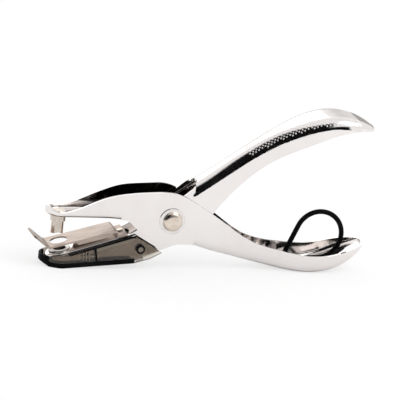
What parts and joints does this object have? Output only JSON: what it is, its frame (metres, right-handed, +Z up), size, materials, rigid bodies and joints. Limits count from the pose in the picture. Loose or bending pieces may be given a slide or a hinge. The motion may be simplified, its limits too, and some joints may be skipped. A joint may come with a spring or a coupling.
{
  "type": "one-hole hand punch",
  "caption": "Plier-type hand paper punch with a punch pin and die, a stripper leaf, a smoky chip catcher, a sprung lever and a wire hang loop.",
  "frame": {"origin": "middle of the bounding box at its bottom, on the surface that the punch stands on", "axes": "+Z up, +X towards the tips of the handles, -X towards the jaws, Y along the pivot rivet"},
  "size_m": [0.1714, 0.025, 0.0798],
  "materials": {
    "bright_plate": "bright nickel plate, faintly soft reflections",
    "grip_plate": "bright nickel plate with a fine diagonal knurl on the upper handle",
    "rivet_steel": "warm turned steel with a pressed ring",
    "washer_steel": "turned steel",
    "bush_steel": "oiled turned steel",
    "spring_steel": "drawn spring wire, slightly oily",
    "pin_steel": "hardened ground steel with turning rings",
    "die_steel": "hardened ground steel",
    "leaf_steel": "cold rolled sheet with a beige-grey tone, drawn grain along its length",
    "smoke_plastic": "smoky translucent moulded plastic, satin inside",
    "black_plastic": "moulded black plastic, fine spark texture",
    "pip_plastic": "smooth black moulded plastic",
    "loop_wire": "black lacquered wire",
    "bracket_steel": "plain zinc plated sheet"
  },
  "bodies": {
    "outer_frame": {"outer_lever": "bright_plate", "pivot_rivet": "rivet_steel", "rivet_washer_near": "washer_steel", "rivet_washer_far": "washer_steel", "spacer_bush": "bush_steel", "return_spring": "spring_steel", "punch_pin": "pin_steel", "loop_bracket": "bracket_steel", "loop_pin": "pin_steel"},
    "squeeze_lever": {"inner_lever": "grip_plate", "spring_upper_leg": "spring_steel", "die_bush": "die_steel", "stripper_leaf": "leaf_steel", "leaf_rivet": "pin_steel", "catcher_pivot_near": "pip_plastic", "catcher_pivot_far": "pip_plastic"},
    "catcher": {"catcher_body": "smoke_plastic", "catcher_base": "black_plastic"},
    "loop": {"hang_loop": "loop_wire"}
  },
  "joints": [
    {"name": "squeeze", "type": "hinge", "parent": "outer_frame", "child": "squeeze_lever", "pos_m": [-0.01726, 0, 0.02501], "axis": [0, 1, 0], "range_deg": [0, 10.5], "stiffness_Nm_per_rad": 0.8, "springref_deg": -21.49},
    {"name": "catcher_swing", "type": "hinge", "parent": "squeeze_lever", "child": "catcher", "pos_m": [-0.03196, 0, 0.01051], "axis": [0, -1, 0], "range_deg": [0, 18]},
    {"name": "loop_swing", "type": "hinge", "parent": "outer_frame", "child": "loop", "pos_m": [0.04764, 0, 0.00631], "axis": [0, -1, 0], "range_deg": [0, 75]}
  ]
}
